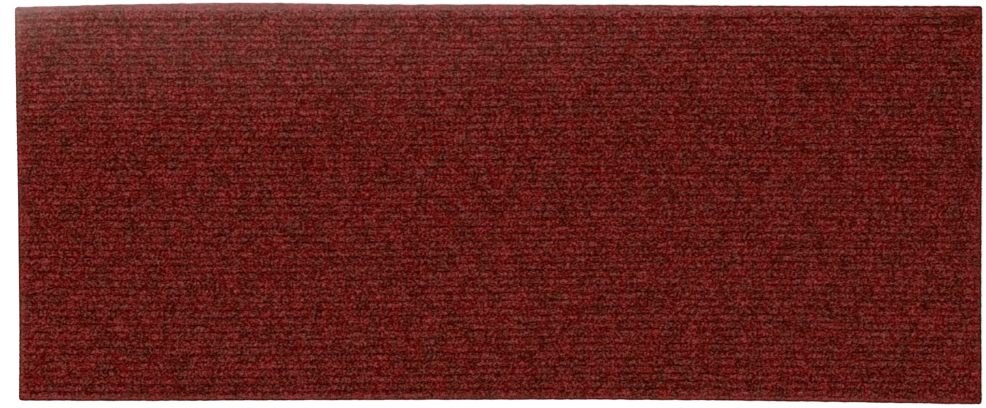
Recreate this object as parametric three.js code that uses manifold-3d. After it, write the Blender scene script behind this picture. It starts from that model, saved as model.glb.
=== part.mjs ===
// Anti slip stair tread mat: a strip of ribbed needle punched carpet on a bonded rubber grip layer.
// Millimetres. +X runs along the tread, +Y towards the riser and +Z up.
// The origin is the middle of the underside, which lies on the step.

import * as THREE from "three";
import { mergeVertices } from "three/addons/utils/BufferGeometryUtils.js";
import Module from "manifold-3d";

// Overall size of the cut piece, over its widest points
const LENGTH = 562;
const WIDTH = 233;
const CORNER_RADIUS = 1.6;

// Layers, from the step upwards
const BACKING_THICKNESS = 1.5;
const FELT_THICKNESS = 2.2; // from the rubber to the floor of the grooves
const RIB_RISE = 1.8; // from that floor to the crowns

// Ribs, which run along the tread
const RIB_PITCH = 4.32;
const RIB_OFFSET = 1.5; // how far the rib nearest the middle stands towards the riser
const RIB_SECTION = [0, 0.82, 1, 0.82]; // share of the rise at even steps, from groove to groove

// How far each edge of the cut runs inside the overall rectangle at even steps.
// The long edges are read from left to right and the short ones from front to back.
const FRONT_CUT = [2.1, 1.9, 2.2, 2.4, 2.6, 2.6, 2, 1, 0];
const BACK_CUT = [2.4, 0.7, 0, 0.9, 0.9, 1.1, 1.6, 1.7, 1.8];
const LEFT_CUT = [2.4, 2.6, 1.9, 0.8, 0];
const RIGHT_CUT = [0.3, 0.5, 0.3, 0, 0];

// The pile is pressed down along the cut, from the full rise to this wall
const EDGE_BAND = 3.2;
const EDGE_WALL = 2; // height of the carpet at the cut itself, above the rubber

// The ribs sway sideways along the strip, by these amounts at its front and back
const FRONT_SWAY = 1.3;
const BACK_SWAY = 0.5;
const FRONT_LEAD = 0.1; // share of the length by which the front sways ahead of the back
const CORNER_PULL = 2.8; // extra droop of the ribs at the back left corner
const CORNER_REACH = 32; // length over which it fades

// Fineness of the facets
const RIB_STEPS = 12; // along each rib
const LONG_EDGE_STEPS = 16;
const SHORT_EDGE_STEPS = 4;
const CORNER_STEPS = 3;
const OVERRUN = 6; // how far the ribbed stock reaches past the cut before it is trimmed

const carpetThickness = FELT_THICKNESS + RIB_RISE;

const wasm = await Module();
wasm.setup();

// A closed three.js geometry as a solid that can be cut.
function toSolid(geometry) {
  const plain = geometry.clone();
  plain.deleteAttribute("normal");
  plain.deleteAttribute("uv");
  const merged = mergeVertices(plain, 1e-4);
  return new wasm.Manifold(
    new wasm.Mesh({
      numProp: 3,
      vertProperties: merged.attributes.position.array,
      triVerts: new Uint32Array(merged.index.array),
    }),
  );
}

// A cut solid as flat shaded three.js geometry.
function toGeometry(solid) {
  const cut = solid.getMesh();
  const geometry = new THREE.BufferGeometry();
  geometry.setAttribute("position", new THREE.BufferAttribute(cut.vertProperties, 3));
  geometry.setIndex(new THREE.BufferAttribute(cut.triVerts, 1));
  const faceted = geometry.toNonIndexed();
  faceted.computeVertexNormals();
  return faceted;
}

// Moves every vertex of a geometry to the place that move(x, y, z) gives.
function reshape(geometry, move) {
  const position = geometry.attributes.position;
  for (let i = 0; i < position.count; i++) {
    position.setXYZ(i, ...move(position.getX(i), position.getY(i), position.getZ(i)));
  }
  return geometry;
}

// The value of a list at share t of its length, on a smooth curve through its entries.
function along(list, t) {
  const curve = new THREE.SplineCurve(list.map((value, i) => new THREE.Vector2(i, value)));
  return curve.getPoint(THREE.MathUtils.clamp(t, 0, 1)).y;
}

// A point of the overall rectangle, moved to where the hand cut piece has it.
function cutPoint(x, y) {
  const u = x / LENGTH + 0.5;
  const v = y / WIDTH + 0.5;
  return [
    x + (1 - u) * along(LEFT_CUT, v) - u * along(RIGHT_CUT, v),
    y + (1 - v) * along(FRONT_CUT, u) - v * along(BACK_CUT, u),
  ];
}

// The overall rectangle with round corners, anticlockwise, its straight edges in short steps.
function rectangle() {
  const corners = [
    { x: -1, y: -1, steps: LONG_EDGE_STEPS },
    { x: 1, y: -1, steps: SHORT_EDGE_STEPS },
    { x: 1, y: 1, steps: LONG_EDGE_STEPS },
    { x: -1, y: 1, steps: SHORT_EDGE_STEPS },
  ];
  const arcs = corners.map((corner, i) => {
    const centre = new THREE.Vector2(
      corner.x * (LENGTH / 2 - CORNER_RADIUS),
      corner.y * (WIDTH / 2 - CORNER_RADIUS),
    );
    const start = Math.PI + (i * Math.PI) / 2;
    return Array.from({ length: CORNER_STEPS + 1 }, (_, k) => {
      const angle = start + (k / CORNER_STEPS) * (Math.PI / 2);
      return new THREE.Vector2(Math.cos(angle), Math.sin(angle)).multiplyScalar(CORNER_RADIUS).add(centre);
    });
  });
  const points = [];
  arcs.forEach((arc, i) => {
    const last = arc[CORNER_STEPS];
    const next = arcs[(i + 1) % arcs.length][0];
    points.push(...arc);
    for (let k = 1; k < corners[i].steps; k++) {
      points.push(last.clone().lerp(next, k / corners[i].steps));
    }
  });
  return new THREE.Shape(points);
}

// A block with the outline of the cut, through levels that each give a height and an inset.
function cutBlock(levels) {
  const geometry = new THREE.ExtrudeGeometry(rectangle(), {
    depth: levels.length - 1,
    steps: levels.length - 1,
    bevelEnabled: false,
  });
  return reshape(geometry, (x, y, step) => {
    const { z, inset } = levels[Math.round(step)];
    return [
      ...cutPoint(x * (1 - (2 * inset) / LENGTH), y * (1 - (2 * inset) / WIDTH)),
      z,
    ];
  });
}

// How far a rib lies from its straight line: a slow sway, and the pull of the drooping corner.
function drift(x, y) {
  const v = y / WIDTH + 0.5;
  const sway = THREE.MathUtils.lerp(FRONT_SWAY, BACK_SWAY, v);
  const lead = THREE.MathUtils.lerp(FRONT_LEAD, 0, v);
  const fromCorner = Math.max(0, x + LENGTH / 2);
  const pull = CORNER_PULL * Math.exp(-fromCorner / CORNER_REACH) * Math.max(0, 2 * v - 1);
  return sway * Math.sin(2 * Math.PI * (x / LENGTH + lead)) - pull;
}

// Ribbed stock, larger than the cut: the rib section drawn across it and swept along the tread.
function ribbedStock() {
  const floor = BACKING_THICKNESS + FELT_THICKNESS;
  const ribsEachSide = Math.ceil((WIDTH / 2 + OVERRUN) / RIB_PITCH);
  const section = new THREE.Shape();
  const first = RIB_OFFSET - (ribsEachSide + 0.5) * RIB_PITCH;
  section.moveTo(first, 0);
  for (let rib = 0; rib <= 2 * ribsEachSide; rib++) {
    RIB_SECTION.forEach((share, k) => {
      section.lineTo(first + (rib + k / RIB_SECTION.length) * RIB_PITCH, floor + share * RIB_RISE);
    });
  }
  const last = first + (2 * ribsEachSide + 1) * RIB_PITCH;
  section.lineTo(last, floor);
  section.lineTo(last, 0);
  const length = LENGTH + 2 * OVERRUN;
  const geometry = new THREE.ExtrudeGeometry(section, {
    depth: length,
    steps: RIB_STEPS,
    bevelEnabled: false,
  });
  // The section lies in Y and Z, and the sweep runs along X
  geometry.rotateX(Math.PI / 2);
  geometry.rotateZ(Math.PI / 2);
  geometry.translate(-length / 2, 0, 0);
  return reshape(geometry, (x, y, z) => [x, y + drift(x, y), z]);
}

// The carpet: ribbed stock trimmed to the cut, with its pile pressed down along the edge.
function ribbedCarpet() {
  const overshoot = 1.1; // the slope runs on a little above the crowns
  const envelope = cutBlock([
    { z: BACKING_THICKNESS, inset: 0 },
    { z: BACKING_THICKNESS + EDGE_WALL, inset: 0 },
    {
      z: BACKING_THICKNESS + EDGE_WALL + overshoot * (carpetThickness - EDGE_WALL),
      inset: overshoot * EDGE_BAND,
    },
  ]);
  const mesh = new THREE.Mesh(
    toGeometry(toSolid(ribbedStock()).intersect(toSolid(envelope))),
    new THREE.MeshStandardMaterial({ color: 0x6a211b, roughness: 0.95, metalness: 0 }),
  );
  mesh.name = "ribbed_carpet";
  return mesh;
}

// The grip layer: a thin sheet of rubber bonded under the carpet and cut with it.
function rubberBacking() {
  const mesh = new THREE.Mesh(
    cutBlock([
      { z: 0, inset: 0 },
      { z: BACKING_THICKNESS, inset: 0 },
    ]),
    new THREE.MeshStandardMaterial({ color: 0x1f1d1c, roughness: 0.75, metalness: 0 }),
  );
  mesh.name = "rubber_backing";
  return mesh;
}

const mat = new THREE.Group();
mat.add(rubberBacking(), ribbedCarpet());

export default mat;
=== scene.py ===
"""The looks of an anti slip stair tread mat: ribbed needle punched carpet on a bonded rubber grip layer.

Shapes are worked out in millimetres and become metres when their mesh is made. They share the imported
part's frame: +X along the tread, +Y towards the riser and +Z up out of the pile.
"""

import bpy
import numpy as np
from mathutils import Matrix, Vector


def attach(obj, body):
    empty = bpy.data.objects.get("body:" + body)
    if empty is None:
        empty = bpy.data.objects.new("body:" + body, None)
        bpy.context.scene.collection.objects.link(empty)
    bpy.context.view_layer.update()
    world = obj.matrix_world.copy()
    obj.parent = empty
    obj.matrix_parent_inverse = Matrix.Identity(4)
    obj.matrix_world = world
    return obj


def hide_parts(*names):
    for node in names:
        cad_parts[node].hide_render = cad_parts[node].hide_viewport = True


MM = 0.001  # metres in a millimetre

# Overall size of the cut piece and its layers, as in the part's source
LENGTH = 562.0
WIDTH = 233.0
CORNER_RADIUS = 1.6
BACKING_THICKNESS = 1.5
FELT_THICKNESS = 2.2
RIB_RISE = 1.8
RIB_PITCH = 4.32
RIB_OFFSET = 1.5
EDGE_BAND = 3.2
EDGE_WALL = 2.0

# How far each edge of the cut runs inside the overall rectangle at even steps
FRONT_CUT = (2.1, 1.9, 2.2, 2.4, 2.6, 2.6, 2.0, 1.0, 0.0)
BACK_CUT = (2.4, 0.7, 0.0, 0.9, 0.9, 1.1, 1.6, 1.7, 1.8)
LEFT_CUT = (2.4, 2.6, 1.9, 0.8, 0.0)
RIGHT_CUT = (0.3, 0.5, 0.3, 0.0, 0.0)

# How the ribs sway along the strip
FRONT_SWAY = 1.3
BACK_SWAY = 0.5
FRONT_LEAD = 0.1
CORNER_PULL = 2.8
CORNER_REACH = 32.0

# Unevenness of the pile, from many needle strokes
RIB_BLUNTNESS = 2.8  # power of the rib's section: higher is flatter on top
RIB_WOBBLE = 0.07  # of a pitch, sideways
RIB_LEAN = 0.085  # of a pitch, by which the grooves lie nearer to the rib behind them
GROOVE_FILL = 0.35  # most of the rise that stray fibres bridge in a groove
BRIDGED = 0.5  # share of the grooves that they bridge
BRIDGE_CONTRAST = 0.8  # how sharply a bridge begins and ends
CROWN_SWELL = 0.12
LUMP_HEIGHT = 0.12
NAP_HEIGHT = 0.07

# Spacing of that unevenness: along a rib in millimetres and across in ribs, or both in millimetres
WOBBLE_CELL = (4.2, 1.0)
BRIDGE_CELL = (4.5, 1.0)
SWELL_CELL = (7.0, 1.0)
LUMP_CELL = (3.2, 2.4)
NAP_CELL = (1.3, 0.9)

# The wall of the cut carpet
WALL_DROPS = (0.5, 1.2, EDGE_WALL)  # depths of its rings of points below its top
WALL_ROUGHNESS = 0.2
WALL_BULGE = 0.12

# Tones of the fibre, in 8 bit levels by which it is paler or darker than its middle colour
BROWN_FIBRE = (81, 24, 10)
RED_FIBRE = (110, 23, 17)
PALER_SHARES = (0.86, 1.08, 1.25)  # of each colour in a paler tone, as white light adds to red least
DARKER_SHARES = (0.68, 1.1, 1.2)  # in a darker one, where green and blue soon reach nothing
TONE_STEPS = (-70, -45, -25, -8, 10, 35, 70, 110)
PALE_HOLD = 0.45  # share by which the palest tone is held back
# painted shade: the grooves are darkened in tone where shade falls into them, the crowns are not
GROOVE_SHADE_TONE = -31
CROWN_TONE = 3
GROOVE_GRAIN = 0.5  # how much stronger the grain is in a groove than on a crown
STRAND_TONE = 24  # spread from strand to strand
SPECK_TONE = 60  # of the few pale ones
SPECK_SHARE = 0.012
TUFT_TONE_AND_SHADE = 240  # of the tufts under the strands; its dark lows are partly painted shade between them
FELT_TONE_AND_SHADE = 88  # of the fine fibres that they are matted from; its dark lows are partly painted shade between them
FELT_MIDDLE = 0.63  # mean of the felt's noise

# The band along the cut, paler partly as pressed pile and partly as painted highlight where the rounded
# cut catches side light, and its rim of painted shade at the very edge
CUT_TONE_AND_HIGHLIGHT = 32
RIGHT_CUT_TONE_AND_HIGHLIGHT = 11  # along the right end
BACK_CUT_TONE_AND_HIGHLIGHT = 36  # along the back
CUT_GLOW = 5.5  # how far in from the cut the band fades
BACK_GLOW = 5.5  # how much wider it is along the back
CUT_CALM = 0.5  # share of the grain that is pressed smooth there
RIM_SHADE_TONE = -58
RIGHT_RIM_SHADE_TONE = -66
RIM_WIDTH = 0.75
RIM_FADE = 0.5
WALL_TONE = -6

# Where the left part of the back is made paler by painted glare
BACK_GLARE_TONE = 16  # added to the band
BACK_GLARE_GLOW = 3.0  # how much wider the band is
BACK_GLARE_RIM_TONE = 16
BACK_GLARE_REACH = (0.35, 0.95)  # shares of the length between which the painted glare ends

# Painted glare at the back left corner: a pale haze added to the colour that stands in for light
GLARE_LEVELS = (38, 56, 58)  # added where it is strongest
GLARE_CALM = 0.5  # share of the contrast that is lost there
GLARE_REACHES = ((0.52, 600.0, 92.0), (0.48, 50.0, 36.0))  # share of each bloom, and how far it spreads
EYE_GAMMA = 2.2  # between even steps of light and even steps to the eye

# Sizes of what the materials draw
TUFT = 1.25
TUFT_FRAY = 0.65  # how far the felt pulls the outline of a tuft
TUFT_RELIEF = 3  # height of the tufts against that of the felt
FELT_LENGTH = 1.5
FELT_WIDTH = 0.15
FELT_DEPTH = 0.4
FELT_BEND = 1.2
FELT_TURNS = (0.3, 1.35, 2.4)
PILE_RELIEF = 0.2
PILE_RELIEF_STRENGTH = 0.25
BLOTCH = 7.0
BLOTCH_DETAIL = 2
BLOTCH_ROUGHNESS = 0.6
BLOTCH_STRETCH = (1, 0.7, 1)
BLOTCH_RANGE = (0.32, 0.68)  # values of the noise that become all brown and all red
RUBBER_GRAIN = 0.8
RUBBER_DETAIL = 3
RUBBER_RELIEF = 0.1
RUBBER_RELIEF_STRENGTH = 0.5
RUBBER_DARK = (24, 23, 22)
RUBBER_PALE = (44, 42, 40)

# Fineness of the carpet's grid
ROWS_PER_RIB = 8
COLUMN_STEP = 2.75
END_COLUMNS = (0.0, 0.5, 1.1, 1.8, 2.6, 3.6)  # distances from each end of the cut
EDGE_BLEND = 14.0  # the rows leave the ribs for the edge within this distance of it

# The carpet's map
MAP_MARGIN = 2.0  # kept free round the wall
HIDDEN_SCALE = 0.002  # the hidden bottom is drawn as small as this

# Short strands that lie over the pile, and long stray fibres that curl over them
STRAND_PIECES = 3
STRANDS_PER_PIECE = 30000
STRAND_STEPS = 3
STRAND_LENGTH = (1.0, 2.1)
STRAND_RADIUS = (0.07, 0.13)
STRAND_LIFT = (0.12, 0.4)
STRAND_TURN = 1  # most quarter turns by which it lies off the line of its rib, either way
STRAND_CURL = 0.1  # of its length
STRAYS = 6000
STRAY_STEPS = 7
STRAY_LENGTH = (2.5, 5.0)
STRAY_RADIUS = (0.03, 0.045)
STRAY_LIFT = (0.4, 0.9)
STRAY_TURN = 2
STRAY_CURL = 0.3
FIBRE_SIDES = 3
FIBRE_ROOT = 0.15  # how deep both ends of a fibre are buried
FIBRE_MARGIN = 0.5  # how far its middle keeps from the cut
EDGE_LIFT = 0.4  # least share of the lift, in the pressed band
CELL_SHARE = 0.9  # share of its cell in the map that a fibre fills

# The photograph's frame in pixels, where the mat's middle lies in it, and its scale there
FRAME_SIZE = (986.0, 408.0)
MAT_MIDDLE = (498.5, 203.6)
PIXEL = 0.5809
CAMERA_HEIGHT = 1500.0
SENSOR = 36.0

# Floor, light and what the camera reaches, in metres and watts
FLOOR_SIZE = 12
FLOOR_GAP = 0.0001
FLOOR_GREY = 0.9
FLOOR_GLOW = 0.3  # seen by the camera and in gloss only
ROOM_LIGHT = 0.78
LAMP_SIZE = 1.2
LAMP_POWER = 13
LAMP_PLACE = (-0.4, -0.2, 1.6)
NEAREST = 0.05
FARTHEST = 50

SEED = 1936

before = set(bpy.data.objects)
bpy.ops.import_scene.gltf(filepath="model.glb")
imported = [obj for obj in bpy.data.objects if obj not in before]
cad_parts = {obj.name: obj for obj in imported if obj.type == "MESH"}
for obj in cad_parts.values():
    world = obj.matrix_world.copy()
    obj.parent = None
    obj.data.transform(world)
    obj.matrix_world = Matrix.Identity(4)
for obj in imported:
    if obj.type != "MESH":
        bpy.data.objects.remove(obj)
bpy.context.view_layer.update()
random = np.random.default_rng(SEED)


def smoothstep(t):
    """3 t squared less 2 t cubed, with t held between 0 and 1."""
    t = np.clip(t, 0.0, 1.0)
    return t * t * (3.0 - 2.0 * t)


def along(values, share):
    """The value of a list at a share of its length, on a Catmull-Rom curve through its entries."""
    values = np.asarray(values)
    last = len(values) - 1
    place = np.clip(share, 0.0, 1.0) * last
    i = np.minimum(place.astype(int), last - 1)
    t = place - i
    before, start, end, after = (values[np.clip(i + k, 0, last)] for k in (-1, 0, 1, 2))
    slope_in, slope_out = (end - before) / 2, (after - start) / 2
    return (
        (2 * start - 2 * end + slope_in + slope_out) * t**3
        + (3 * end - 3 * start - 2 * slope_in - slope_out) * t**2
        + slope_in * t
        + start
    )


def drift(x, y):
    """How far a rib lies from its straight line: a sine sway that grows towards the front, less the
    exponential pull of the drooping back left corner."""
    v = y / WIDTH + 0.5
    sway = FRONT_SWAY + (BACK_SWAY - FRONT_SWAY) * v
    lead = FRONT_LEAD * (1 - v)
    reach = np.exp(-np.maximum(0, x + LENGTH / 2) / CORNER_REACH)
    pull = CORNER_PULL * reach * np.maximum(0, 2 * v - 1)
    return sway * np.sin(2 * np.pi * (x / LENGTH + lead)) - pull


def round_corners(x, y):
    """Squares to circles: in each corner square of the radius, a point keeps its direction from the
    arc's centre and its larger coordinate becomes its distance from there."""
    straight_x, straight_y = LENGTH / 2 - CORNER_RADIUS, WIDTH / 2 - CORNER_RADIUS
    dx, dy = np.maximum(abs(x) - straight_x, 0), np.maximum(abs(y) - straight_y, 0)
    reach = np.hypot(dx, dy)
    scale = np.where(reach > 0, np.maximum(dx, dy) / np.maximum(reach, 1e-9), 1)
    return (
        np.sign(x) * (np.minimum(abs(x), straight_x) + dx * scale),
        np.sign(y) * (np.minimum(abs(y), straight_y) + dy * scale),
    )


def to_cut(x, y):
    """A point of the overall rectangle, moved to where the cut piece has it. Along the edges it follows
    the cut, and further in it follows the ribs."""
    x, y = round_corners(x, y)
    u, v = x / LENGTH + 0.5, y / WIDTH + 0.5
    at_edge = 1 - smoothstep((WIDTH / 2 - abs(y)) / EDGE_BLEND)
    from_cut_line = (1 - v) * along(FRONT_CUT, u) - v * along(BACK_CUT, u)
    cut_x = x + (1 - u) * along(LEFT_CUT, v) - u * along(RIGHT_CUT, v)
    return cut_x, y + at_edge * from_cut_line + (1 - at_edge) * drift(cut_x, y)


def inset(x, y):
    """Distance of a point of the overall rectangle from the nearest edge of it."""
    return np.minimum(LENGTH / 2 - abs(x), WIDTH / 2 - abs(y))


def smooth_field(cell_x, cell_y):
    """A function of x and y: random numbers from -1 to 1 on a lattice, joined by smoothstep both ways."""
    reach = LENGTH / 2 + 2 * max(cell_x, cell_y)
    shape = [int(2 * reach / cell) + 3 for cell in (cell_x, cell_y)]
    corners = random.uniform(-1, 1, shape)

    def value(x, y):
        i, j = (x + reach) / cell_x, (y + reach) / cell_y
        i0, j0 = np.floor(i).astype(int), np.floor(j).astype(int)
        a, b = smoothstep(i - i0), smoothstep(j - j0)
        near = corners[i0, j0] * (1 - a) + corners[i0 + 1, j0] * a
        far = corners[i0, j0 + 1] * (1 - a) + corners[i0 + 1, j0 + 1] * a
        return near * (1 - b) + far * b

    return value


wobble = smooth_field(*WOBBLE_CELL)
bridging = smooth_field(*BRIDGE_CELL)
swell = smooth_field(*SWELL_CELL)
lumps = smooth_field(*LUMP_CELL)
nap = smooth_field(*NAP_CELL)


def rib_share(x, y):
    """Share of the full rise. With f the place across a rib, from -0.5 to 0.5, it is
    1 - |2 f| ^ bluntness, with a cosine added to f that leans the ribs. Bridged grooves are lifted, and
    crowns swell."""
    rib = (y - RIB_OFFSET - drift(x, y)) / RIB_PITCH
    rib = rib + RIB_WOBBLE * wobble(x, np.round(rib))
    rib = rib - RIB_LEAN * (1 - np.cos(2 * np.pi * rib)) / 2
    share = 1 - abs(2 * (rib - np.round(rib))) ** RIB_BLUNTNESS
    fill = GROOVE_FILL * smoothstep(BRIDGED + BRIDGE_CONTRAST * bridging(x, np.floor(rib)))
    return fill + (1 - fill) * share * (1 + CROWN_SWELL * swell(x, np.round(rib)))


def pile_top(x, y, from_cut):
    """Height of the pile: the ribs with lumps and nap added, all of it pressed down to the wall along a
    parabola towards the cut."""
    uneven = LUMP_HEIGHT * lumps(x, y) + NAP_HEIGHT * nap(x, y)
    wall = BACKING_THICKNESS + EDGE_WALL
    height = BACKING_THICKNESS + FELT_THICKNESS + RIB_RISE * rib_share(x, y) + uneven
    pressed = 1 - (1 - np.clip(from_cut / EDGE_BAND, 0, 1)) ** 2
    return wall + (height - wall) * pressed


def pile_tone(x, y, from_cut):
    """Tone of the pile in levels: painted shade dark in the grooves, and a band along the cut that is
    paler, partly as pressed pile and partly as painted highlight, and fades inwards by smoothstep. The
    band ends in a dark rim of painted shade, which is even over its width and then fades by smoothstep.
    The band is wider along the back and weaker at the right end. Along the left part of the back
    painted glare makes it paler, and its rim too."""
    # painted shade in the grooves
    ribbed = GROOVE_SHADE_TONE + (CROWN_TONE - GROOVE_SHADE_TONE) * rib_share(x, y)
    at_back = smoothstep(1 - (WIDTH / 2 - y) / EDGE_BLEND)
    at_right = smoothstep(1 - (LENGTH / 2 - x) / EDGE_BLEND)
    start, end = BACK_GLARE_REACH
    # painted glare along the left part of the back, fading towards the right
    back_glare = at_back * (1 - smoothstep((x / LENGTH + 0.5 - start) / (end - start)))
    glow = CUT_GLOW + BACK_GLOW * at_back + BACK_GLARE_GLOW * back_glare
    pressed = 1 - smoothstep(from_cut / glow)
    band = CUT_TONE_AND_HIGHLIGHT + (RIGHT_CUT_TONE_AND_HIGHLIGHT - CUT_TONE_AND_HIGHLIGHT) * at_right + (BACK_CUT_TONE_AND_HIGHLIGHT - CUT_TONE_AND_HIGHLIGHT) * at_back
    band = band + BACK_GLARE_TONE * back_glare
    rim = RIM_SHADE_TONE + (RIGHT_RIM_SHADE_TONE - RIM_SHADE_TONE) * at_right
    rim = rim + (BACK_GLARE_RIM_TONE - rim) * back_glare
    # painted shade: a dark rim at the very edge of the cut
    at_rim_shade = 1 - smoothstep((from_cut - RIM_WIDTH) / RIM_FADE)
    return ribbed * (1 - pressed) + band * pressed + rim * at_rim_shade


def grain_share(x, y, from_cut):
    """Share of the grain that shows: more in the grooves, and less where the cut presses it smooth."""
    ribbed = 1 + GROOVE_GRAIN * (1 - np.clip(rib_share(x, y), 0, 1))
    return ribbed * (1 - CUT_CALM * (1 - smoothstep(from_cut / CUT_GLOW)))


def make_piece(name, points, faces, uv, values):
    """An object from points in millimetres and faces given as arrays of corners, one row each. uv holds
    a place for each face corner in turn, and values one number for each point, by attribute name."""
    mesh = bpy.data.meshes.new(name)
    corners = np.concatenate([f.ravel() for f in faces]).astype(np.int32)
    totals = np.concatenate([np.full(len(f), f.shape[1]) for f in faces]).astype(np.int32)
    starts = np.concatenate([[0], np.cumsum(totals)[:-1]]).astype(np.int32)
    mesh.vertices.add(len(points))
    mesh.vertices.foreach_set("co", (points * MM).astype(np.float32).ravel())
    mesh.loops.add(len(corners))
    mesh.loops.foreach_set("vertex_index", corners)
    mesh.polygons.add(len(totals))
    mesh.polygons.foreach_set("loop_start", starts)
    mesh.polygons.foreach_set("use_smooth", totals <= 4)  # all but the many sided bottom
    mesh.update(calc_edges=True)
    for key, value in values.items():
        layer = mesh.attributes.new(key, "FLOAT", "POINT")
        layer.data.foreach_set("value", value.astype(np.float32).ravel())
    layer = mesh.uv_layers.new(name="OFBake")
    layer.data.foreach_set("uv", uv.astype(np.float32).ravel())
    mesh.validate()
    piece = bpy.data.objects.new(name, mesh)
    bpy.context.scene.collection.objects.link(piece)
    return piece


def grid_quads(rows, columns):
    """Corners of the faces of a grid of points, row after row, anticlockwise from above."""
    start = (np.arange(rows - 1)[:, None] * columns + np.arange(columns - 1)).ravel()
    return np.stack([start, start + 1, start + columns + 1, start + columns], 1)


def grid_rim(rows, columns):
    """The points round the edge of such a grid, anticlockwise from above."""
    index = np.arange(rows * columns).reshape(rows, columns)
    return np.concatenate([index[0, :-1], index[:-1, -1], index[-1, :0:-1], index[:0:-1, 0]])


def pile_grid():
    """Places of the grid's points on the overall rectangle: a row at each even share of a rib, and
    columns at even steps that draw together towards both ends."""
    middle = np.arange(END_COLUMNS[-1], LENGTH - END_COLUMNS[-1], COLUMN_STEP)[1:]
    columns = np.concatenate([END_COLUMNS, middle, LENGTH - np.array(END_COLUMNS[::-1])]) - LENGTH / 2
    row_step = RIB_PITCH / ROWS_PER_RIB
    rows = np.arange(-WIDTH, WIDTH, row_step) + RIB_OFFSET % RIB_PITCH
    rows = rows[abs(rows) < WIDTH / 2 - row_step / 2]
    return np.meshgrid(columns, np.concatenate([[-WIDTH / 2], rows, [WIDTH / 2]]))


def carpet():
    """The carpet as one closed shell: a grid of pile, a rough wall round the cut that bulges a little,
    and a flat bottom."""
    flat_x, flat_y = pile_grid()
    x, y = to_cut(flat_x, flat_y)
    from_cut = inset(flat_x, flat_y)
    top = np.stack([x, y, pile_top(x, y, from_cut)], -1).reshape(-1, 3)
    size = np.array([LENGTH, WIDTH])

    # The wall is rings of points below the rim, each moved straight out from its edge
    rim = grid_rim(*flat_x.shape)
    outward = np.stack([flat_x, flat_y], -1).reshape(-1, 2)[rim]
    outward = np.where(abs(outward) > size / 2 - 1e-6, np.sign(outward), 0)
    rings = []
    for drop in WALL_DROPS:
        ring = top[rim].copy()
        rough = WALL_ROUGHNESS * random.uniform(-1, 1, len(rim)) * (drop < EDGE_WALL)
        ring[:, :2] += outward * (WALL_BULGE + rough)[:, None]
        ring[:, 2] = BACKING_THICKNESS + EDGE_WALL - drop
        rings.append(ring)
    points = np.concatenate([top, *rings])
    ring_index = [rim] + [len(top) + k * len(rim) + np.arange(len(rim)) for k in range(len(rings))]
    faces = [grid_quads(*flat_x.shape)]
    for upper, lower in zip(ring_index, ring_index[1:]):
        faces.append(np.stack([upper, lower, np.roll(lower, -1), np.roll(upper, -1)], 1))
    faces.append(ring_index[-1][::-1][None, :])

    # The map lays the wall out flat round the pile, and the hidden bottom in a small corner of it
    spread = np.concatenate([top[:, :2], *(top[rim][:, :2] + outward * drop for drop in WALL_DROPS)])
    margin = EDGE_WALL + MAP_MARGIN
    place = (spread + size / 2 + margin) / (size + 2 * margin)
    uv = place[np.concatenate([f.ravel() for f in faces])]
    uv[-len(rim) :] *= HIDDEN_SCALE

    wall = np.ones(len(rim) * len(rings))
    tone = np.concatenate([pile_tone(x, y, from_cut).ravel(), WALL_TONE * wall])
    grain = np.concatenate([grain_share(x, y, from_cut).ravel(), wall])
    return make_piece("carpet_pile", points, faces, uv, {"tone": tone, "grain": grain})


def fibre_faces(steps):
    """Triangles of one fibre, and a place in its map for each of their corners. Its points are one tip,
    a ring at each inner step and the other tip. Its length runs one way in the map, and its girth the
    other."""
    last = 1 + FIBRE_SIDES * (steps - 2)
    faces, places = [], []
    for k in range(FIBRE_SIDES):
        beside = (k + 1) % FIBRE_SIDES
        a, b = 1 + k, 1 + beside
        low, middle, high = k / FIBRE_SIDES, (k + 0.5) / FIBRE_SIDES, (k + 1) / FIBRE_SIDES
        first, final = 1 / (steps - 1), (steps - 2) / (steps - 1)
        faces += [(0, b, a), (last, last - FIBRE_SIDES + k, last - FIBRE_SIDES + beside)]
        places += [((0, middle), (first, high), (first, low))]
        places += [((1, middle), (final, low), (final, high))]
        for step in range(steps - 3):
            near, far = (step + 1) / (steps - 1), (step + 2) / (steps - 1)
            i, j = FIBRE_SIDES * step, FIBRE_SIDES * (step + 1)
            faces += [(a + i, b + i, b + j), (a + i, b + j, a + j)]
            places += [((near, low), (near, high), (far, high)), ((near, low), (far, high), (far, low))]
    return np.array(faces), np.array(places)


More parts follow.
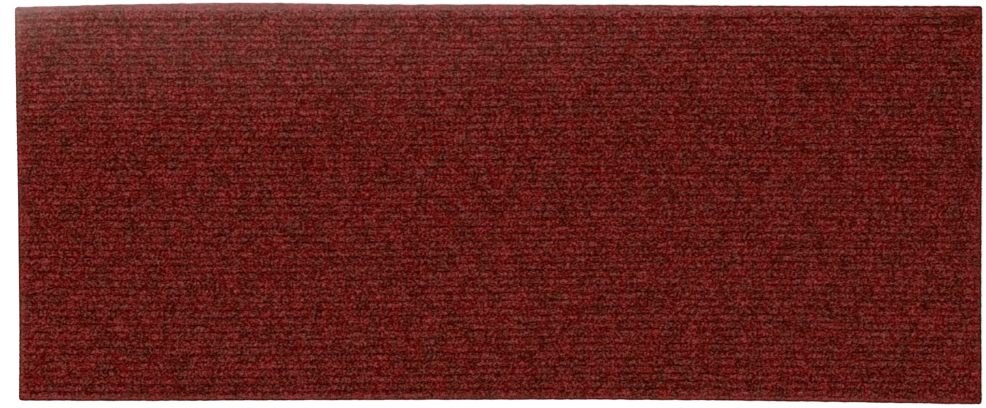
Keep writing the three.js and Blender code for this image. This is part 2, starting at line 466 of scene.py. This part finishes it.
def fibres(name, count, steps, length, radius, lift, turn, curl):
    """Fibres as one piece. Each follows an arch with the profile 1 - t squared from one buried tip to
    the other, with its radius shrinking as the square root of that profile, and curls sideways by a
    cosine. turn is the most quarter turns by which it lies off the line of the rib on a crown, and it
    lies closer to that line in a groove."""
    flat = random.uniform(-0.5, 0.5, (count, 2)) * (LENGTH - 2 * FIBRE_MARGIN, WIDTH - 2 * FIBRE_MARGIN)
    from_cut = inset(flat[:, 0], flat[:, 1])
    x, y = to_cut(flat[:, 0], flat[:, 1])
    heading = turn * np.pi * random.uniform(-0.5, 0.5, count) * np.clip(rib_share(x, y), 0, 1)
    length, radius, lift = (random.uniform(*span, count) for span in (length, radius, lift))
    lift = lift * np.clip(from_cut / EDGE_BAND, EDGE_LIFT, 1)
    bend = random.normal(0, curl, count) * length
    phase = random.uniform(0, 2 * np.pi, count) * (steps > 3)  # a fibre of three steps is a plain bow

    # The spine of each fibre, with its steps along the first axis
    t = np.linspace(-1, 1, steps)[:, None]
    arch = 1 - t * t
    ahead = np.stack([np.cos(heading), np.sin(heading)], 1)
    aside = np.stack([-ahead[:, 1], ahead[:, 0]], 1)
    waves = t * steps / 4  # a fibre of more steps curls in more waves
    sway = arch * bend * np.cos(waves + phase)
    xy = np.stack([x, y], 1) + (t * length / 2)[..., None] * ahead + sway[..., None] * aside
    xy = np.clip(xy, [-LENGTH / 2, -WIDTH / 2], [LENGTH / 2, WIDTH / 2])
    z = pile_top(xy[..., 0], xy[..., 1], from_cut) + arch * lift - (1 - arch) * FIBRE_ROOT
    spine = np.concatenate([xy, z[..., None]], -1)

    # Rings round its inner steps
    angle = (2 * np.pi * np.arange(FIBRE_SIDES) / FIBRE_SIDES)[:, None]
    sides = np.column_stack([aside, np.zeros(count)])
    ring = sides[:, None] * np.cos(angle) + np.array([0, 0, 1]) * np.sin(angle)
    rings = spine[1:-1, :, None] + (np.sqrt(arch[1:-1]) * radius)[..., None, None] * ring
    rings = rings.swapaxes(0, 1).reshape(count, -1, 3)
    points = np.concatenate([spine[0][:, None], rings, spine[-1][:, None]], 1)
    each = points.shape[1]

    # Each fibre has a cell of its own in the map
    pattern, places = fibre_faces(steps)
    faces = (np.arange(count)[:, None, None] * each + pattern).reshape(-1, 3)
    cells = int(np.ceil(np.sqrt(count)))
    cell = np.stack([np.arange(count) % cells, np.arange(count) // cells], 1)
    uv = (cell[:, None, None] + places * CELL_SHARE + (1 - CELL_SHARE) / 2) / cells

    own = random.normal(0, STRAND_TONE, count) + SPECK_TONE * (random.uniform(0, 1, count) < SPECK_SHARE)
    # each fibre takes the pile's tone, with its painted shade, highlight and glare, and adds its own
    # random tone
    tone = pile_tone(x, y, from_cut) + own * grain_share(x, y, from_cut)
    return make_piece(name, points.reshape(-1, 3), [faces], uv, {"tone": np.repeat(tone, each)})


def add(tree, kind, inputs=None, **settings):
    """A new node with its settings, and its inputs set to values or joined to other nodes' outputs."""
    node = tree.nodes.new(kind)
    for key, value in settings.items():
        setattr(node, key, value)
    for key, value in (inputs or {}).items():
        if isinstance(value, bpy.types.NodeSocket):
            tree.links.new(value, node.inputs[key])
        else:
            node.inputs[key].default_value = value
    return node


def calculate(tree, operation, *values):
    """A number worked out from other numbers."""
    return add(tree, "ShaderNodeMath", dict(enumerate(values)), operation=operation).outputs[0]


def combine(tree, operation, inputs):
    """A place worked out from other places."""
    return add(tree, "ShaderNodeVectorMath", inputs, operation=operation).outputs[0]


def mix(tree, factor, a, b, blend_type="MIX"):
    """A mix of two colours."""
    inputs = {0: factor, 6: a, 7: b}
    return add(tree, "ShaderNodeMix", inputs, data_type="RGBA", blend_type=blend_type).outputs[2]


def srgb(red, green, blue):
    """A colour given in 8 bit sRGB, as the linear values that nodes take."""
    share = np.array([red, green, blue]) / 255
    linear = np.where(share <= 0.04045, share / 12.92, ((share + 0.055) / 1.055) ** 2.4)
    return (*linear.tolist(), 1.0)


def new_material(name):
    """A material, its tree and its Principled shader."""
    material = bpy.data.materials.new(name)
    material.use_nodes = True
    tree = material.node_tree
    return material, tree, tree.nodes["Principled BSDF"]


def object_place(tree):
    """The object's own coordinates, in metres."""
    return add(tree, "ShaderNodeTexCoord").outputs["Object"]


def noise(tree, place, size, detail, roughness=0.5):
    """Noise over a place, with features of about size millimetres."""
    inputs = {"Vector": place, "Scale": 1 / (size * MM), "Detail": detail, "Roughness": roughness}
    return add(tree, "ShaderNodeTexNoise", inputs)


def spread_out(tree, value, low, high):
    """The value stretched so that low becomes 0 and high becomes 1, and held there."""
    inputs = {"Value": value, "From Min": low, "From Max": high}
    return add(tree, "ShaderNodeMapRange", inputs, clamp=True).outputs[0]


def fibre_ramp(tree, tone, middle):
    """Fibre of one colour, its tone in levels added to each channel of the middle. Pale tones are held
    back by a share that grows with them."""
    low, high = TONE_STEPS[0], TONE_STEPS[-1]
    ramp = add(tree, "ShaderNodeValToRGB", {"Fac": spread_out(tree, tone, low, high)})
    stops = ramp.color_ramp.elements
    while len(stops) < len(TONE_STEPS):
        stops.new(1)
    for k, step in enumerate(TONE_STEPS):
        held = step * (1 - PALE_HOLD * max(step, 0) / high)
        shares = PALER_SHARES if step > 0 else DARKER_SHARES
        levels = [channel + held * share for channel, share in zip(middle, shares)]
        stops[k].position = (step - low) / (high - low)
        stops[k].color = srgb(*np.clip(levels, 0, 255))
    return ramp.outputs[0]


def painted_glare(tree):
    """Share of painted glare, a pale haze in two blooms that each fade from the back left corner."""
    corner = (-LENGTH / 2 * MM, WIDTH / 2 * MM, 0)
    place = combine(tree, "SUBTRACT", {0: object_place(tree), 1: corner})
    total = 0
    for share, reach_x, reach_y in GLARE_REACHES:
        scaled = combine(tree, "DIVIDE", {0: place, 1: (reach_x * MM, reach_y * MM, 1)})
        distance = add(tree, "ShaderNodeVectorMath", {0: scaled}, operation="LENGTH").outputs["Value"]
        inputs = {"Value": distance, "From Min": 0, "From Max": 1, "To Min": 1, "To Max": 0}
        bloom = add(tree, "ShaderNodeMapRange", inputs, interpolation_type="SMOOTHSTEP").outputs[0]
        total = calculate(tree, "MULTIPLY_ADD", bloom, share, total)
    return total


def pile_colour(tree, tone):
    """Colour of the heathered fibre, which drifts in blotches between a brown and a bright red.
    Painted glare, a pale haze at the back left corner, is added to it in even steps as the eye sees
    them, so between two gamma curves."""
    glare = painted_glare(tree)
    tone = calculate(tree, "MULTIPLY", tone, calculate(tree, "MULTIPLY_ADD", glare, -GLARE_CALM, 1))
    drawn = {"Vector": object_place(tree), "Scale": BLOTCH_STRETCH}
    drawn = add(tree, "ShaderNodeMapping", drawn).outputs[0]
    blotches = noise(tree, drawn, BLOTCH, BLOTCH_DETAIL, BLOTCH_ROUGHNESS).outputs["Fac"]
    reds = spread_out(tree, blotches, *BLOTCH_RANGE)
    fibre = mix(tree, reds, fibre_ramp(tree, tone, BROWN_FIBRE), fibre_ramp(tree, tone, RED_FIBRE))
    fibre = add(tree, "ShaderNodeGamma", {"Color": fibre, "Gamma": 1 / EYE_GAMMA}).outputs[0]
    levels = (*(level / 255 for level in GLARE_LEVELS), 1)
    fibre = mix(tree, glare, fibre, levels, "ADD")
    return add(tree, "ShaderNodeGamma", {"Color": fibre, "Gamma": EYE_GAMMA}).outputs[0]


def finish_fibre(shader):
    """Matt fibre with a faint reddish sheen."""
    shader.inputs["Roughness"].default_value = 0.9
    shader.inputs["Specular IOR Level"].default_value = 0.04
    shader.inputs["Specular Tint"].default_value = (1, 0.45, 0.4, 1)
    shader.inputs["Sheen Weight"].default_value = 0.03
    shader.inputs["Sheen Roughness"].default_value = 0.35
    shader.inputs["Sheen Tint"].default_value = (1, 0.5, 0.45, 1)


def emboss(tree, shader, height, depth, strength):
    """Lets the shader's light follow a height, with a depth in millimetres."""
    inputs = {"Strength": strength, "Distance": depth * MM, "Height": height}
    tree.links.new(add(tree, "ShaderNodeBump", inputs).outputs[0], shader.inputs["Normal"])


def carried(tree, name):
    """A number that the mesh carries at each point."""
    return add(tree, "ShaderNodeAttribute", attribute_name=name).outputs["Fac"]


def felt(tree):
    """Matted fibres: noise drawn out along a few directions, each bent by a slower noise, with the
    highest of them on top."""
    place = object_place(tree)
    slow = noise(tree, place, 2 * FELT_BEND, 1).outputs["Color"]
    bent = combine(tree, "MULTIPLY_ADD", {0: slow, 1: (FELT_BEND * MM,) * 3, 2: place})
    sizes = [1 / (size * MM) for size in (FELT_LENGTH, FELT_WIDTH, FELT_DEPTH)]
    layers = []
    for turn in FELT_TURNS:
        turned = {"Vector": bent, "Angle": turn}
        turned = add(tree, "ShaderNodeVectorRotate", turned, rotation_type="Z_AXIS").outputs[0]
        drawn = add(tree, "ShaderNodeMapping", {"Vector": turned, "Scale": sizes}).outputs[0]
        layer = add(tree, "ShaderNodeTexNoise", {"Vector": drawn, "Scale": 1, "Detail": 0})
        layers.append(layer.outputs["Fac"])
    top = layers[0]
    for layer in layers[1:]:
        top = calculate(tree, "MAXIMUM", top, layer)
    return top


def carpet_material():
    """Needle punched pile: soft tufts of different tone, matted from fine fibres. The grain's dark lows
    are partly painted shade between the tufts, and its pale highs partly painted highlight on their tips.
    """
    material, tree, shader = new_material("needle_punched_pile")
    fine = felt(tree)
    pull = calculate(tree, "MULTIPLY", fine, TUFT_FRAY * MM)
    frayed = combine(tree, "ADD", {0: object_place(tree), 1: pull})
    tufts = noise(tree, frayed, TUFT, 1).outputs["Fac"]
    grain = calculate(tree, "MULTIPLY_ADD", tufts, TUFT_TONE_AND_SHADE, -TUFT_TONE_AND_SHADE / 2)
    matted = calculate(tree, "MULTIPLY_ADD", fine, FELT_TONE_AND_SHADE, -FELT_MIDDLE * FELT_TONE_AND_SHADE)
    grain = calculate(tree, "ADD", grain, matted)
    tone = calculate(tree, "MULTIPLY_ADD", grain, carried(tree, "grain"), carried(tree, "tone"))
    tree.links.new(pile_colour(tree, tone), shader.inputs["Base Color"])
    height = calculate(tree, "MULTIPLY_ADD", tufts, TUFT_RELIEF, fine)
    emboss(tree, shader, height, PILE_RELIEF, PILE_RELIEF_STRENGTH)
    finish_fibre(shader)
    return material


def strand_material():
    """Single locks of fibre, each of one tone."""
    material, tree, shader = new_material("loose_strands")
    tree.links.new(pile_colour(tree, carried(tree, "tone")), shader.inputs["Base Color"])
    finish_fibre(shader)
    return material


def rubber_material():
    """Matt black rubber with a fine grain."""
    material, tree, shader = new_material("grip_rubber")
    grain = noise(tree, object_place(tree), RUBBER_GRAIN, RUBBER_DETAIL).outputs["Fac"]
    colour = mix(tree, grain, srgb(*RUBBER_DARK), srgb(*RUBBER_PALE))
    tree.links.new(colour, shader.inputs["Base Color"])
    emboss(tree, shader, grain, RUBBER_RELIEF, RUBBER_RELIEF_STRENGTH)
    shader.inputs["Roughness"].default_value = 0.7
    shader.inputs["Specular IOR Level"].default_value = 0.3
    return material


def seen_rays(tree):
    """1 for rays from the camera, from gloss and through glass, and 0 for light that spreads."""
    path = add(tree, "ShaderNodeLightPath").outputs
    seen = calculate(tree, "MAXIMUM", path["Is Camera Ray"], path["Is Glossy Ray"])
    return calculate(tree, "MAXIMUM", seen, path["Is Transmission Ray"])


def plain_floor():
    """A white floor that keeps the mat's shadow."""
    bpy.ops.mesh.primitive_plane_add(size=FLOOR_SIZE, location=(0, 0, -FLOOR_GAP))
    floor = bpy.context.object
    floor.name = "floor"
    material, tree, shader = new_material("floor_white")
    shader.inputs["Base Color"].default_value = (FLOOR_GREY, FLOOR_GREY, FLOOR_GREY, 1)
    shader.inputs["Roughness"].default_value = 1
    shader.inputs["Specular IOR Level"].default_value = 0
    shader.inputs["Emission Color"].default_value = (1, 1, 1, 1)
    glow = calculate(tree, "MULTIPLY", seen_rays(tree), FLOOR_GLOW)
    tree.links.new(glow, shader.inputs["Emission Strength"])
    floor.data.materials.append(material)


def soft_light():
    """A pale room that is seen as white, and one large soft lamp above the left end."""
    world = bpy.data.worlds.new("pale_room")
    bpy.context.scene.world = world
    world.use_nodes = True
    tree = world.node_tree
    strength = calculate(tree, "MULTIPLY_ADD", seen_rays(tree), 1 - ROOM_LIGHT, ROOM_LIGHT)
    tree.links.new(strength, tree.nodes["Background"].inputs["Strength"])
    tree.nodes["Background"].inputs["Color"].default_value = (1, 1, 1, 1)
    lamp = bpy.data.lights.new("soft_box", "AREA")
    lamp.shape = "SQUARE"
    lamp.size = LAMP_SIZE
    lamp.energy = LAMP_POWER
    box = bpy.data.objects.new("soft_box", lamp)
    box.location = LAMP_PLACE
    box.rotation_euler = (-Vector(LAMP_PLACE)).to_track_quat("-Z", "Y").to_euler()
    bpy.context.scene.collection.objects.link(box)


def straight_down_camera():
    """The camera looks straight down, far enough up to take in the photograph's frame."""
    camera = bpy.data.cameras.new("camera")
    camera.sensor_fit = "HORIZONTAL"
    camera.sensor_width = SENSOR
    pile = BACKING_THICKNESS + FELT_THICKNESS
    camera.lens = SENSOR * (CAMERA_HEIGHT - pile) / (FRAME_SIZE[0] * PIXEL)
    camera.clip_start, camera.clip_end = NEAREST, FARTHEST
    eye = bpy.data.objects.new("camera", camera)
    right = (FRAME_SIZE[0] / 2 - MAT_MIDDLE[0]) * PIXEL
    up = (MAT_MIDDLE[1] - FRAME_SIZE[1] / 2) * PIXEL
    eye.location = (right * MM, up * MM, CAMERA_HEIGHT * MM)
    bpy.context.scene.collection.objects.link(eye)
    bpy.context.scene.camera = eye


straight_down_camera()
soft_light()
plain_floor()

pile = carpet()
pile.data.materials.append(carpet_material())
fibre = strand_material()
strand = (STRAND_STEPS, STRAND_LENGTH, STRAND_RADIUS, STRAND_LIFT, STRAND_TURN, STRAND_CURL)
stray = (STRAY_STEPS, STRAY_LENGTH, STRAY_RADIUS, STRAY_LIFT, STRAY_TURN, STRAY_CURL)
loose = [fibres(f"pile_strands_{k + 1}", STRANDS_PER_PIECE, *strand) for k in range(STRAND_PIECES)]
loose.append(fibres("stray_fibres", STRAYS, *stray))
for piece in loose:
    piece.data.materials.append(fibre)
for piece in (pile, *loose):
    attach(piece, "root")
    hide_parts("ribbed_carpet")

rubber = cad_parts["rubber_backing"]
rubber.data.materials.clear()
rubber.data.materials.append(rubber_material())

bpy.context.scene.view_settings.view_transform = "Standard"
